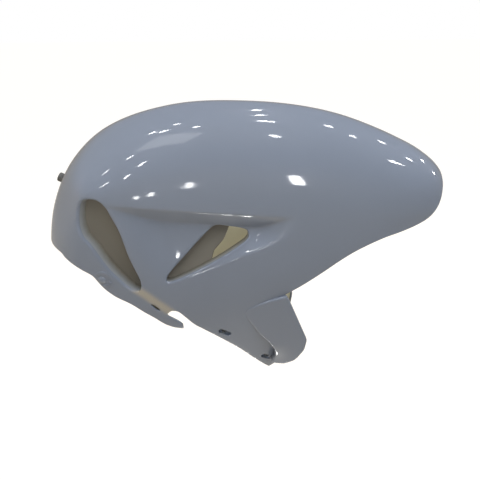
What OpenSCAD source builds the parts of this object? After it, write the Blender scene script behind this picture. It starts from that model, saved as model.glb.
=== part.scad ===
// Front mudguard of a road motorcycle: one moulded shell with scooped sides, and a stud at its tail.
// The wheel axle is the modelling centre: X points forward, Y to the left and Z up, in millimetres.
// The finished part is moved so that its origin lies between the two rear fork bolts.

/* [Overall] */
// Overall width of the moulded shell
overall_w = 147; // [140:1:155]
// Wall of the moulding
wall = 3; // [2.5:0.1:3.5]

/* [Side scoop] */
// Height of the crease above the axle, measured straight over the axle
crease_z = 221; // [217:1:224]
// Fall of the crease for each millimetre forward
crease_fall = 0.095; // [0.085:0.005:0.105]
// How far the scooped panel lies inside the arch
scoop_d = 13; // [8:1:15]
// Height of the sloping wall under the crease
scoop_h = 20; // [17:1:22]
// Height of the lower lip above the axle, measured straight over the axle
lip_z = 180; // [176:1:183]
// Rise of the lower lip for each millimetre forward
lip_rise = 0.42; // [0.4:0.01:0.45]
// Depth of the return flange round the side openings
flange_d = 12; // [10:1:14]
// Thickness of the return flange
flange_t = 2.5; // [2:0.1:3]

/* [Skirt] */
// How far the skirt has curled inward 100 mm below the level where its curl starts
skirt_curl = 17; // [12:1:19]
// Power of the skirt's curl
skirt_power = 1.9; // [1.6:0.1:2.2]

/* [Bolts] */
// Diameter of the fork bolt bores
bolt_d = 6.6; // [5.5:0.1:7]
// Diameter of the pocket for the bolt's flange
pocket_d = 15; // [13:0.5:16]
// Wall of the boss round the pocket
boss_t = 2.5; // [2:0.5:3]
// Rear bolt, forward of the axle
rear_bolt_x = -38; // [-40:1:-35]
// Rear bolt, above the axle
rear_bolt_z = 67; // [65:1:69]
// Front bolt, forward of the axle
front_bolt_x = 16; // [14:1:17]
// Front bolt, above the axle
front_bolt_z = 17; // [15:1:19]

/* [Stud] */
// Diameter of the stud's head, which stands on a flat seat
stud_d = 11; // [9:0.5:12]
// How far the stud stands out of the shell
stud_h = 10; // [6:1:14]

/* [Hidden] */
// Half width of the space that side view shapes are cut or drawn through
side_reach = 120;
// Overlap by which a face inside the moulding runs into its neighbour
hidden = 1;
// Depth of the bosses behind the bolts, and reach of the pockets outward from their floors
boss_depth = 12;
pocket_reach = 14;
rear_pad_y = 60;
front_pad_y = 43;
// Seat of the stud, on the left of the tail, with its tilts outward and towards the rear
stud_x = -223.2;
stud_y = 20;
stud_z = 237.2;
stud_lean = -10;
stud_angle = -66;
stud_bore_d = 8;
stud_play = 0.2;
stud_grip = 2.5;
stud_collar_t = 2;
stud_collar_d = 10;
stud_seat_d = stud_d + 1;
stud_seat_h = 20;
paint = [0.53, 0.56, 0.61];
stud_grey = [0.28, 0.28, 0.27];

// The cross sections fan out from this point under the axle
fan_x = -5;
fan_z = -100;

// Each row is one design section: its angle, the reach of the ridge from the fan point,
// the half width at the crease, and the reach of the lowest point kept before trimming
sections = [
    [50, 378, 26, 320],
    [54, 407, 43, 330],
    [57, 420, 52, 320],
    [61, 425, 59, 300],
    [66, 426, 64, 220],
    [70, 427, 67, 90],
    [76, 429, 70, 85],
    [90, 432, 73, 90],
    [102, 438, 73, 120],
    [112, 436, 73, 150],
    [119, 421, 71, 165],
    [125, 396, 67, 215],
    [131, 363, 60, 285],
    [136, 334, 52, 290]
];
first_angle = sections[0][0];
last_angle = sections[len(sections) - 1][0];
// Sections along the part, then steps across the arch, the scoop's wall, its panel and the skirt
station_n = 26;
arch_n = 9;
wall_n = 2;
panel_n = 2;
skirt_n = 4;
// Sections of a block that follows the flank
block_n = 10;
arch_power = 0.93;

function mix(a, b, f) = a + (b - a) * f;
function ramp(f) = let(g = min(1, max(0, f))) g * g * (3 - 2 * g);

// Slope of a table column at row i, from the rows on either side
function slope(tab, col, i) = let(a = max(0, i - 1), b = min(len(tab) - 1, i + 1))
    (tab[b][col] - tab[a][col]) / (tab[b][0] - tab[a][0]);
// A smooth value of a table column at x
function hermite(tab, col, x, i) = let(
    w = tab[i + 1][0] - tab[i][0], f = (x - tab[i][0]) / w,
    f2 = f * f, f3 = f2 * f)
    (2 * f3 - 3 * f2 + 1) * tab[i][col] + (f3 - 2 * f2 + f) * w * slope(tab, col, i)
    + (3 * f2 - 2 * f3) * tab[i + 1][col] + (f3 - f2) * w * slope(tab, col, i + 1);
function row_of(tab, x, i = 0) = (i >= len(tab) - 2 || x < tab[i + 1][0]) ? i : row_of(tab, x, i + 1);
function smooth_at(tab, col, x) = hermite(tab, col, x, row_of(tab, x));

// Reach of a straight side line z = z0 + k x along the ray at angle a
function line_reach(a, z0, k) = (z0 + k * fan_x - fan_z) / (sin(a) - k * cos(a));
// Behind the crescent the widest level leaves the crease line and follows the ridge round the tail
function crease_reach(a) = mix(line_reach(a, crease_z, -crease_fall),
    smooth_at(sections, 1, a) - tail_drop, ramp((a - crease_end) / (band_full - crease_end)));
// The greater of two numbers, with their crossing rounded
function soft_max(p, q, k) = (p + q + sqrt((p - q) * (p - q) + k * k)) / 2;
lip_least = 4;
lip_soft = 8;
function lip_drop(a) = soft_max(lip_least, crease_reach(a) - line_reach(a, lip_z, lip_rise), lip_soft);

// Share of the scoop at angle a: none behind the vent, full over it, and none forward of the lip's end
scoop_end = 81;
scoop_front = 90;
scoop_rear = 104;
scoop_start = 116;
crease_end = 115;
band_full = 122;
tail_drop = 56;
function scoop(a) = ramp((a - scoop_end) / (scoop_front - scoop_end))
    * ramp((scoop_start - a) / (scoop_start - scoop_rear));

// How far the skirt has curled inward at reach r, below a side line that rises forward
curl_z = 150;
curl_rise = 0.25;
curl_limit = 80;
function limited(c) = c * curl_limit / (c + curl_limit);
function curl(a, r) = limited(skirt_curl * pow(max(0, line_reach(a, curl_z, curl_rise) - r) / 100, skirt_power));

// Least and greatest height of the scoop's wall as shares, and its steepest depth for its height
wall_least = 0.1;
wall_most = 0.65;
wall_slope = 0.7;
skirt_least = 10;
// Half section at angle a, from the ridge down, as [half width, reach]
function section(a) = let(
    top = smooth_at(sections, 1, a), w = smooth_at(sections, 2, a), low = smooth_at(sections, 3, a),
    c = crease_reach(a), e = c - lip_drop(a),
    h = min(scoop_h * mix(wall_least, 1, scoop(a)), wall_most * (c - e)),
    d = min(scoop_d * scoop(a), wall_slope * h))
    concat(
        [for (i = [0 : arch_n]) let(f = 90 * i / arch_n)
            [w * pow(sin(f), arch_power), mix(c, top, pow(cos(f), arch_power))]],
        [for (i = [1 : wall_n]) let(f = i / wall_n) [w - d * ramp(f), c - h * f]],
        [for (i = [1 : panel_n]) let(f = i / panel_n, r = mix(c - h, e, f)) [w - d * (1 - f) - curl(a, r), r]],
        [for (i = [1 : skirt_n]) let(f = i / skirt_n, r = mix(e, min(low, e - skirt_least), f)) [w - curl(a, r), r]]
    );

// A point of the side view at angle a and reach r
function side_point(a, r) = [fan_x + r * cos(a), fan_z + r * sin(a)];

// The section moved inward by t along its own normal
function unit(v) = v / norm(v);
function inward(s, t) = [for (i = [0 : len(s) - 1]) let(
    p = s[max(0, i - 1)], q = s[min(len(s) - 1, i + 1)],
    d = i == 0 ? [1, 0] : unit(q - p))
    [i == 0 ? 0 : s[i][0] + d[1] * t, s[i][1] - d[0] * t]];

// The whole section, left to right, from its right half
function both_sides(s) = concat([for (i = [len(s) - 1 : -1 : 1]) [-s[i][0], s[i][1]]], s);
function place(s, a) = [for (p = s) let(q = side_point(a, p[1])) [q[0], -p[0], q[1]]];

// A closed skin between an outer and an inner grid of points, row by row
module skin_between(outer, inner) {
    rows = len(outer);
    cols = len(outer[0]);
    half = rows * cols;
    points = concat([for (r = outer) each r], [for (r = inner) each r]);
    function at(i, j) = i * cols + j;
    top = [for (i = [0 : rows - 2]) for (j = [0 : cols - 2]) each [
        [at(i, j), at(i + 1, j + 1), at(i + 1, j)], [at(i, j), at(i, j + 1), at(i + 1, j + 1)]]];
    under = [for (f = top) [f[0] + half, f[2] + half, f[1] + half]];
    rim = concat(
        [for (i = [0 : rows - 1]) at(i, cols - 1)],
        [for (j = [cols - 2 : -1 : 0]) at(rows - 1, j)],
        [for (i = [rows - 2 : -1 : 0]) at(i, 0)],
        [for (j = [1 : cols - 2]) at(0, j)]);
    sides = [for (k = [0 : len(rim) - 1]) let(a = rim[k], b = rim[(k + 1) % len(rim)]) each [
        [a, b + half, b], [a, a + half, b + half]]];
    polyhedron(points, concat(top, under, sides));
}

function stations(n) = [for (i = [0 : n]) mix(first_angle, last_angle, i / n)];
module raw_skin() {
    skin_between(
        [for (a = stations(station_n)) place(both_sides(section(a)), a)],
        [for (a = stations(station_n)) place(both_sides(inward(section(a), wall)), a)]);
}

// A block that follows the right flank, from out_t outside its face to in_t inside it, with n stations
flank_from = 5;
function moved(s, t) = [for (i = [flank_from : len(s) - 1]) [s[i][0] + t, s[i][1]]];
module flank_block(out_t, in_t, n) {
    skin_between(
        [for (a = stations(n)) place(moved(section(a), out_t), a)],
        [for (a = stations(n)) place(moved(section(a), -in_t), a)]);
}

// Smooth run through points, as a Catmull-Rom curve with n steps to a span
function spline(p, n) = [for (i = [0 : len(p) - 2]) each [for (k = [0 : n - 1]) let(
    f = k / n, a = p[max(0, i - 1)], b = p[i], c = p[i + 1], d = p[min(len(p) - 1, i + 2)])
    0.5 * (2 * b + (c - a) * f + (2 * a - 5 * b + 4 * c - d) * f * f + (3 * b - 3 * c + d - a) * f * f * f)]];

// Side view of the right half's outline below the arch, in runs between its corners
tail_run = [[-330, 182], [-262, 179], [-227, 177], [-217, 170], [-200, 157], [-189, 150], [-184, 143], [-177, 133],
    [-165, 122], [-147, 112], [-134, 102], [-120, 92], [-109, 83], [-98, 78]];
tongue_run = [[-86, 76], [-88, 83], [-96, 90], [-107, 97]];
skirt_run = [[-101, 103], [-93, 102], [-84, 93], [-74, 82], [-62, 73], [-44, 59], [-19, 38], [0, 18], [20, -4]];
front_run = [[33, 117], [51, 127], [74, 142], [109, 166], [144, 182], [169, 189], [188, 195], [204, 203], [216, 218],
    [224, 240]];
beyond = [[240, 400], [-400, 400], [-400, 210]];
side_outline = concat(spline(tail_run, 2), [tail_run[len(tail_run) - 1]], spline(tongue_run, 2),
    [tongue_run[len(tongue_run) - 1]], spline(skirt_run, 2), [skirt_run[len(skirt_run) - 1]],
    [[33, 0], [34, 40], [24, 104]], spline(front_run, 2), [front_run[len(front_run) - 1]], beyond);

// The crescent opening, its slit past the tongue, and the vent
crescent_left = [[-167, 236], [-176, 243], [-190, 242], [-195, 233], [-197, 215], [-194, 200], [-186, 188], [-177, 171],
    [-167, 155], [-150, 136], [-133, 120], [-120, 109], [-108, 97]];
crescent_right = [[-102, 103], [-114, 114], [-130, 127], [-135, 133], [-135, 145], [-145, 174], [-153, 204], [-160, 221]];
crescent = concat(crescent_left, crescent_right);
vent = [[-104, 146], [-97, 156], [-79, 175], [-62, 193], [-47, 206], [-33, 205], [-16, 201], [-10, 197], [-11, 190],
    [-19, 184], [-40, 171], [-58, 161], [-80, 150], [-100, 142]];

// A prism of a side view shape, from y0 to y1
module across(y0, y1) {
    translate([0, y1, 0]) rotate([90, 0, 0]) linear_extrude(y1 - y0) children();
}
// A rod across the part at a side view point
module rod(x, z, d, y0, y1, n = 48) {
    translate([x, y1, z]) rotate([90, 0, 0]) cylinder(d = d, h = y1 - y0, $fn = n);
}
module each_side() {
    children();
    mirror([0, 1, 0]) children();
}
module openings_2d() {
    polygon(crescent);
    polygon(vent);
}

// The vent has a return flange all round, and a baffle behind its rear edge
baffle = [[-112, 134], [-46, 214], [-30, 214], [-32, 199], [-38, 186], [-50, 173], [-55, 153], [-76, 138], [-100, 130]];
module vent_flange() {
    intersection() {
        flank_block(-hidden, flange_d + hidden, block_n);
        across(-side_reach, 0) offset(delta = flange_t) polygon(vent);
    }
}
module vent_baffle() {
    intersection() {
        flank_block(-flange_d, flange_d + flange_t, block_n);
        across(-side_reach, 0) intersection() {
            offset(delta = flange_t / 2) polygon(vent);
            polygon(baffle);
        }
    }
}

// The crescent has a leaning wall along its rear edge, and a floor that runs in behind the side panel
duct_lean = 0.8;
duct_face = 70;
duct_side = [[-230, 270], [-175, 270], [-160, 190], [-105, 118], [-90, 60], [-230, 60]];
module crescent_duct() {
    intersection() {
        flank_block(-hidden, flange_d + hidden, block_n);
        multmatrix([[1, duct_lean, 0, duct_lean * duct_face], [0, 1, 0, 0], [0, 0, 1, 0]])
            across(-side_reach, 0) intersection() {
                difference() {
                    offset(delta = flange_t) polygon(crescent);
                    polygon(crescent);
                }
                polygon(duct_side);
            }
    }
    intersection() {
        flank_block(-flange_d, flange_d + flange_t, block_n);
        across(-side_reach, 0) translate([duct_lean * (flange_d - wall), 0]) offset(delta = flange_t / 2) polygon(crescent);
    }
}

// The flat fork boot, with a rim along its upper and rear edges that joins it to the skirt
boot = [[33, 115], [12, 108], [-8, 99], [-14, 94], [-13, 88], [-1, 70], [16, 50], [19, 28], [22, 19], [36, 17], [51, 26],
    [61, 40], [63, 52]];
boot_rim_side = [[-24, 125], [30, 125], [30, 112], [10, 104], [-1, 84], [26, 52], [26, 32], [10, 32], [-24, 70]];
boot_y = 69;
boot_tilt = 4;
boot_rim_t = 3;
boot_reach = 24;
boot_out = 40;
module boot_frame() {
    translate([0, -boot_y, boot[0][1]]) rotate([-boot_tilt, 0, 0]) translate([0, 0, -boot[0][1]]) children();
}
module fork_boot() {
    boot_frame() across(0, wall) polygon(boot);
    intersection() {
        flank_block(boot_out, wall / 2, block_n);
        boot_frame() across(hidden, boot_reach) intersection() {
            difference() {
                offset(delta = -hidden / 4) polygon(boot);
                offset(delta = -boot_rim_t) polygon(boot);
            }
            polygon(boot_rim_side);
        }
    }
}

bolts = [[rear_bolt_x, rear_bolt_z, rear_pad_y], [front_bolt_x, front_bolt_z, front_pad_y]];
module bolt_bosses() {
    intersection() {
        flank_block(-hidden, boss_depth, block_n);
        for (b = bolts) rod(b[0], b[1], pocket_d + 2 * boss_t, -side_reach, 0, 24);
    }
}

// Low round dome on the tail band, near its trim
dome_x = -177;
dome_z = 145;
dome_y = 62;
dome_d = 14;
module band_dome() {
    translate([dome_x, -dome_y, dome_z]) sphere(d = dome_d, $fn = 14);
}

module moulded_skin() {
    difference() {
        intersection() {
            union() {
                raw_skin();
                each_side() {
                    bolt_bosses();
                    vent_flange();
                }
            }
            across(-side_reach, side_reach) polygon(side_outline);
        }
        across(-side_reach, side_reach) openings_2d();
    }
    each_side() {
        crescent_duct();
        vent_baffle();
        fork_boot();
        band_dome();
    }
}

module bolt_holes() {
    for (b = bolts) {
        rod(b[0], b[1], bolt_d, -overall_w, overall_w);
        each_side() rod(b[0], b[1], pocket_d, -b[2] - pocket_reach, -b[2]);
    }
}

// Local frame of the stud, its axis along z and its seat at z = 0
module stud_frame() {
    translate([stud_x, stud_y, stud_z]) rotate([stud_lean, stud_angle, 0]) children();
}
module to_origin() {
    translate([-rear_bolt_x, 0, -rear_bolt_z]) children();
}

module mudguard_shell() {
    color(paint) to_origin() difference() {
        resize([0, overall_w, 0]) moulded_skin();
        bolt_holes();
        stud_frame() {
            translate([0, 0, -stud_seat_h]) cylinder(d = stud_bore_d, h = 2 * stud_seat_h, $fn = 48);
            cylinder(d = stud_seat_d, h = stud_seat_h, $fn = 48);
        }
    }
}

module hose_guide_stud() {
    color(stud_grey) to_origin() stud_frame() {
        cylinder(d = stud_d, h = stud_h, $fn = 48);
        translate([0, 0, -stud_grip - stud_collar_t]) {
            cylinder(d = stud_bore_d - stud_play, h = stud_grip + stud_collar_t, $fn = 48);
            cylinder(d = stud_collar_d, h = stud_collar_t, $fn = 48);
        }
    }
}

mudguard_shell();
hose_guide_stud();
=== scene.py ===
# Painted front mudguard of a sports motorcycle: visual pieces, materials and studio
import math

import bmesh
import bpy
import numpy as np
from bpy.props import FloatProperty, FloatVectorProperty, PointerProperty
from mathutils import Matrix, Vector
from mathutils.kdtree import KDTree


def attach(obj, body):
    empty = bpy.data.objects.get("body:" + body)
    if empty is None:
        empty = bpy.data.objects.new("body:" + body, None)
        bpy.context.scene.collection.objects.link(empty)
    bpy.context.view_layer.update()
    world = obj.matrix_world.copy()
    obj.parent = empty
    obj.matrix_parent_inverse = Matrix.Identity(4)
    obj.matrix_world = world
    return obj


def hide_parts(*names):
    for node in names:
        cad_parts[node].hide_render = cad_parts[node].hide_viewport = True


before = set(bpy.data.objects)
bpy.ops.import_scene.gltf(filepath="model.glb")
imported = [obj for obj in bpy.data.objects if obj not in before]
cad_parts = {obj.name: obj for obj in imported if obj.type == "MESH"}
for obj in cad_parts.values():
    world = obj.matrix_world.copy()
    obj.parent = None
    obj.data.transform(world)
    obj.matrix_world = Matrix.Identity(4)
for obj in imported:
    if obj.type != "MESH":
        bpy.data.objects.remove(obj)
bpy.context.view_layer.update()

bl_info = {
    "name": "Front mudguard",
    "version": (1, 0, 0),
    "blender": (4, 5, 0),
    "location": "View3D > Sidebar > Mudguard",
    "description": "Builds the painted front mudguard, its hose guide stud and a plain studio",
    "category": "Object",
}

# Sizes below are in millimetres in the axle frame: x forward, y left, z up, the wheel axle at the origin
# The frame of the model starts at the rear fork bolt, so every piece moves by this at its end.
REAR_BOLT = Vector((-38.0, 0.0, 67.0))

# Cross sections stand round this point of the side view, and reach is the distance from it
FAN_X, FAN_Z = -5.0, -100.0
# For each section: its angle, the reach of the ridge, the half width and the reach of the lowest point
SECTIONS = np.array([
    [50, 378, 26, 320], [54, 407, 43, 330], [57, 420, 52, 320], [61, 425, 59, 300],
    [66, 426, 64, 220], [70, 427, 67, 90], [76, 429, 70, 85], [90, 432, 73, 90],
    [102, 438, 73, 120], [112, 436, 73, 150], [119, 421, 71, 165], [125, 396, 67, 215],
    [131, 363, 60, 285], [136, 334, 52, 290]], float)
ROWS, COLS = 156, 80
HALF_WIDTH = 73.5
# The ridge lies this much lower than in the solid, so that the rounded skin stays inside it
RIDGE_DROP = 0.25
# Side view lines: height over the axle, and rise for each millimetre forward
CREASE_LINE = (221, -0.095)
LIP_LINE = (180, 0.42)
CURL_LINE = (150, 0.25)
SCOOP_DEPTH, SCOOP_WALL, PANEL_HOLLOW = 13, 20, 1.6
# How far the skirt has curled in 100 mm under its line, the power of the curl and what it tends to
SKIRT_CURL, CURL_POWER, CURL_LIMIT = 17, 1.9, 80
# Reach over which the corners of a section are rounded
CORNER_ROUND = 2.6
# Rounding of the moulded rims, and radius over which the openings' edges roll in
RIM_ROUND = 1.0
ROLL = 2.0
FLANGE_DEPTH = 12.0
# Shift of the duct to the front for each millimetre of its depth
DUCT_LEAN = 0.8

# Side view outlines, as x and z
TAIL_RUN = [(-330, 182), (-262, 179), (-227, 177), (-217, 170), (-200, 157), (-189, 150), (-184, 143),
            (-177, 133), (-165, 122), (-147, 112), (-134, 102), (-120, 92), (-109, 83), (-98, 78)]
TONGUE_RUN = [(-86, 76), (-88, 83), (-96, 90), (-107, 97)]
SKIRT_RUN = [(-101, 103), (-93, 102), (-84, 93), (-74, 82), (-62, 73), (-44, 59), (-19, 38), (0, 18),
             (20, -4)]
BOOT_SIDE = [(40, 3), (44, 20), (36, 60), (24, 104)]
FRONT_RUN = [(33, 117), (51, 127), (74, 142), (109, 166), (144, 182), (169, 189), (188, 195), (204, 203),
             (216, 218), (224, 240)]
BEYOND = [(240, 400), (-400, 400), (-400, 210)]
CRESCENT_LEFT = [(-167, 236), (-176, 243), (-190, 242), (-195, 233), (-197, 215), (-194, 200),
                 (-186, 188), (-177, 171), (-167, 155), (-150, 136), (-133, 120), (-120, 109),
                 (-108, 97)]
CRESCENT_RIGHT = [(-102, 103), (-114, 114), (-130, 127), (-135, 133), (-135, 145), (-145, 174),
                  (-153, 204), (-160, 221)]
# The opening as it shows: below it the skin is joined to the tongue by a strip drawn in a paler beige
CRESCENT_OPEN = CRESCENT_LEFT[:10] + [(-142, 131), (-136, 132)] + CRESCENT_RIGHT[4:]
STRIP = [(-141, 134), (-130, 126), (-119, 116.5), (-107, 106.6), (-101, 101)]
STRIP_HALF = 6.5
# Where the crescent's edge goes in to the duct's full depth
DUCT_SIDE = [(-230, 270), (-175, 270), (-160, 190), (-105, 118), (-90, 60), (-230, 60)]
VENT = [(-104, 146), (-97, 156), (-79, 175), (-62, 193), (-47, 206), (-33, 205), (-16, 201), (-10, 197),
        (-11, 190), (-19, 184), (-40, 171), (-58, 161), (-80, 150), (-100, 142)]
BAFFLE = [(-112, 134), (-46, 214), (-30, 214), (-32, 199), (-38, 186), (-50, 173), (-55, 153),
          (-76, 138), (-100, 130)]
TONGUE_EYE = [(-125, 113), (-121.5, 112.5), (-117, 109.5), (-113.3, 103.7), (-117.3, 104.4),
              (-121.7, 108.7)]
BOOT = [(36, 118), (11, 111), (-12, 102), (-15, 97), (-13.5, 90), (-1.5, 72), (2.5, 64.5), (16, 49),
        (24, 37), (26, 24), (20.5, 10), (37.5, 10), (51, 18), (61.5, 34), (64, 49.5)]
# Where the boot's edge goes in to the skirt
BOOT_RIM_SIDE = [(-24, 125), (31, 125), (31, 113), (10, 106), (-1, 84), (20, 56), (29, 38), (30, 20),
                 (28, 8), (0, 5), (-24, 70)]
# The boot's distance from the middle at its top, its lean in degrees and its lower corner's curve inward
BOOT_TOP, BOOT_LEAN, BOOT_CURVE = 72, 7, 6
# Fork bolts: side view place, half width of the recess floor, tilt of the recess along the edge
BOLTS = [(-38, 67, 60, -28), (16, 17, 43, -32)]
BORE_RADIUS, RECESS_RADIUS, RECESS_HALF, RECESS_DEPTH = 3.3, 3.4, 5.0, 14
BOSS_RADIUS, BOSS_DEPTH = 10, 11
# Part of an opening's back that lies behind the skin round it, and depth and radius of the eye's cup
OVERLAP = 1.2
CUP_DEPTH, CUP_RADIUS = 7, 10
# Depth of the openings' edges where they roll in and end
CRESCENT_ROLL, BOOT_ROLL = 4.5, 4.0
DOME_X, DOME_Y, DOME_Z = -177, 62, 145
DOME_RADIUS, COLLAR_RADIUS = 7, 9.0
# The stud along its own axis: its head, the foot through the skin and the collar inside
STUD_RADIUS, STUD_HEIGHT = 5.5, 10
FOOT_RADIUS, FOOT_START, FOOT_END = 3.9, -2.6, 0.4
INNER_RADIUS, INNER_START, INNER_END = 5.0, -4.5, -2.5
HOLE_RADIUS, SEAT_RADIUS = 4.0, 6.0


def linear(text):
    """The linear colour of an sRGB hex value."""
    parts = [int(text[i:i + 2], 16) / 255 for i in (1, 3, 5)]
    return [p / 12.92 if p <= 0.04045 else ((p + 0.055) / 1.055) ** 2.4 for p in parts]


def mm(metres):
    """A property's length in the millimetres of the modelling frame."""
    return round(metres * 1000, 4)


def mix(a, b, f):
    return a + (b - a) * f


def ramp(f):
    g = min(1.0, max(0.0, f))
    return g * g * (3 - 2 * g)


# ---- the moulding's surface

def section_value(column, angle):
    """A smooth value of the section table at an angle."""
    x, y = SECTIONS[:, 0], SECTIONS[:, column]
    i = min(max(int(np.searchsorted(x, angle, side="right")) - 1, 0), len(x) - 2)

    def slope(k):
        a, b = max(0, k - 1), min(len(x) - 1, k + 1)
        return (y[b] - y[a]) / (x[b] - x[a])

    w = x[i + 1] - x[i]
    f = (angle - x[i]) / w
    f2, f3 = f * f, f * f * f
    return ((2 * f3 - 3 * f2 + 1) * y[i] + (f3 - 2 * f2 + f) * w * slope(i)
            + (3 * f2 - 2 * f3) * y[i + 1] + (f3 - f2) * w * slope(i + 1))


def line_reach(angle, z0, rise):
    """Reach of a straight side line along the ray at an angle."""
    s, c = math.sin(math.radians(angle)), math.cos(math.radians(angle))
    return (z0 + rise * FAN_X - FAN_Z) / (s - rise * c)


def crease_reach(angle):
    """Reach of the crease: a straight line that turns to follow the ridge over the tail."""
    return mix(line_reach(angle, *CREASE_LINE), section_value(1, angle) - 56, ramp((angle - 115) / 7))


def scoop_share(angle):
    """How much of the scoop there is at an angle: it runs out towards both ends."""
    return ramp((angle - 81) / 9) * ramp((117 - angle) / 9)


def skirt_curl(angle, reach):
    """How far the skirt has curled inward at a reach."""
    c = SKIRT_CURL * (np.maximum(0, line_reach(angle, *CURL_LINE) - reach) / 100) ** CURL_POWER
    return c * CURL_LIMIT / (c + CURL_LIMIT)


def half_section(angle, round_mm):
    """Half width and reach along the section at an angle, from the ridge down, its corners rounded."""
    top, wide, low = (section_value(k, angle) for k in (1, 2, 3))
    top -= RIDGE_DROP
    crease = crease_reach(angle)
    gap = crease - line_reach(angle, *LIP_LINE)
    lip = crease - (4 + gap + math.hypot(gap - 4, 8)) / 2
    share = scoop_share(angle)
    wall_h = min(SCOOP_WALL * mix(0.1, 1, share), 0.65 * (crease - lip))
    depth = min(SCOOP_DEPTH * share, 0.7 * wall_h)
    f = np.linspace(0, math.pi / 2, 81)
    arch = np.stack([wide * np.sin(f) ** 0.93,
                     crease + (top - crease) * np.maximum(0, np.cos(f)) ** 0.93], 1)
    f = np.linspace(0, 1, 17)[1:]
    wall = np.stack([wide - depth * f, crease - wall_h * f], 1)
    reach = mix(crease - wall_h, lip, f)
    # The panel under the crease is slightly hollow
    hollow = PANEL_HOLLOW * share * np.sin(math.pi * f)
    panel = np.stack([wide - depth * (1 - f) - hollow - skirt_curl(angle, reach), reach], 1)
    f = np.linspace(0, 1, 61)[1:]
    reach = mix(lip, min(low, lip - 10), f)
    skirt = np.stack([wide - skirt_curl(angle, reach), reach], 1)
    line = np.concatenate([arch, wall, panel, skirt])
    # The moulded corners are rounded by a short average along the line, mirrored at the ridge
    step = 0.4
    s = np.concatenate([[0], np.cumsum(np.linalg.norm(np.diff(line, axis=0), axis=1))])
    even = np.arange(0, s[-1], step)
    line = np.stack([np.interp(even, s, line[:, k]) for k in (0, 1)], 1)
    n = int(round_mm / step)
    kernel = np.hanning(2 * n + 3)[1:-1]
    kernel /= kernel.sum()
    before = line[n:0:-1] * [-1, 1]
    after = 2 * line[-1] - line[-2:-n - 2:-1]
    long = np.concatenate([before, line, after])
    line = np.stack([np.convolve(long[:, k], kernel, "valid") for k in (0, 1)], 1)
    marks = [s[80], s[80] + wall_h, s[112]]
    return even[:len(line)], line, marks, share


def surface_table(rows, cols, round_mm):
    """Points of the right half's outer face, station by station and from the ridge down."""
    table = np.zeros((rows + 1, cols + 1, 3))
    for i in range(rows + 1):
        angle = mix(SECTIONS[0, 0], SECTIONS[-1, 0], i / rows)
        s, line, marks, share = half_section(angle, round_mm)
        # More columns where the crease, the foot of its wall and the lip turn
        weight = np.ones_like(s)
        for m in marks:
            weight += (0.3 + 2.2 * share) * np.exp(-((s - m) / 4.5) ** 2)
        total = np.concatenate([[0], np.cumsum((weight[1:] + weight[:-1]) / 2)])
        at = np.interp(np.linspace(0, total[-1], cols + 1), total, s)
        n, r = np.interp(at, s, line[:, 0]), np.interp(at, s, line[:, 1])
        n[0] = 0
        a = math.radians(angle)
        table[i, :, 0] = FAN_X + r * math.cos(a)
        table[i, :, 1] = -n
        table[i, :, 2] = FAN_Z + r * math.sin(a)
    table[:, :, 1] *= HALF_WIDTH / np.abs(table[:, :, 1]).max()
    return table


SURFACE = surface_table(ROWS, COLS, CORNER_ROUND)


def face_at(x, z):
    """Half width of the moulding's outer face at a side view point."""
    angle = math.degrees(math.atan2(z - FAN_Z, x - FAN_X))
    reach = math.hypot(z - FAN_Z, x - FAN_X)
    k = (angle - SECTIONS[0, 0]) / (SECTIONS[-1, 0] - SECTIONS[0, 0]) * ROWS
    i = min(max(int(k), 0), ROWS - 1)

    def on(row):
        r = np.hypot(row[::-1, 0] - FAN_X, row[::-1, 2] - FAN_Z)
        return np.interp(reach, r, -row[::-1, 1])

    return float(mix(on(SURFACE[i]), on(SURFACE[i + 1]), k - i))


# ---- side view outlines

def smooth_run(points, steps=6):
    """A Catmull-Rom curve through the points, its last point included."""
    out = []
    for i in range(len(points) - 1):
        a, b = Vector(points[max(0, i - 1)]), Vector(points[i])
        c, d = Vector(points[i + 1]), Vector(points[min(len(points) - 1, i + 2)])
        for k in range(steps):
            f = k / steps
            out.append(0.5 * (2 * b + (c - a) * f + (2 * a - 5 * b + 4 * c - d) * f * f
                              + (3 * b - 3 * c + d - a) * f ** 3))
    return [tuple(p) for p in out] + [points[-1]]


def smooth_loop(points, steps=6):
    """A closed Catmull-Rom curve through the points."""
    n = len(points)
    run = smooth_run([points[k % n] for k in range(-2, n + 3)], steps)
    return run[2 * steps:(n + 2) * steps]


def inside_by(points, outline):
    """How far each side view point lies inside an outline; negative outside."""
    p = np.asarray(points, float)
    q = np.asarray(outline, float)
    a, b = q, np.roll(q, -1, axis=0)
    best = np.full(len(p), 1e9)
    odd = np.zeros(len(p), bool)
    for (ax, az), (bx, bz) in zip(a, b):
        dx, dz = bx - ax, bz - az
        t = np.clip(((p[:, 0] - ax) * dx + (p[:, 1] - az) * dz) / max(dx * dx + dz * dz, 1e-12), 0, 1)
        best = np.minimum(best, np.hypot(p[:, 0] - ax - t * dx, p[:, 1] - az - t * dz))
        crosses = (az > p[:, 1]) != (bz > p[:, 1])
        if dz:
            odd ^= crosses & (p[:, 0] < ax + (p[:, 1] - az) * dx / dz)
    return np.where(odd, best, -best)


SIDE_OUTLINE = (smooth_run(TAIL_RUN) + smooth_run(TONGUE_RUN) + smooth_run(SKIRT_RUN) + BOOT_SIDE
                + smooth_run(FRONT_RUN) + BEYOND)
CRESCENT_SLIT = smooth_run(CRESCENT_LEFT) + smooth_run(CRESCENT_RIGHT + [CRESCENT_LEFT[0]])[:-1]
CRESCENT = smooth_loop(CRESCENT_OPEN)
VENT_LOOP = smooth_loop(VENT)
EYE_LOOP = smooth_loop(TONGUE_EYE)


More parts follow.
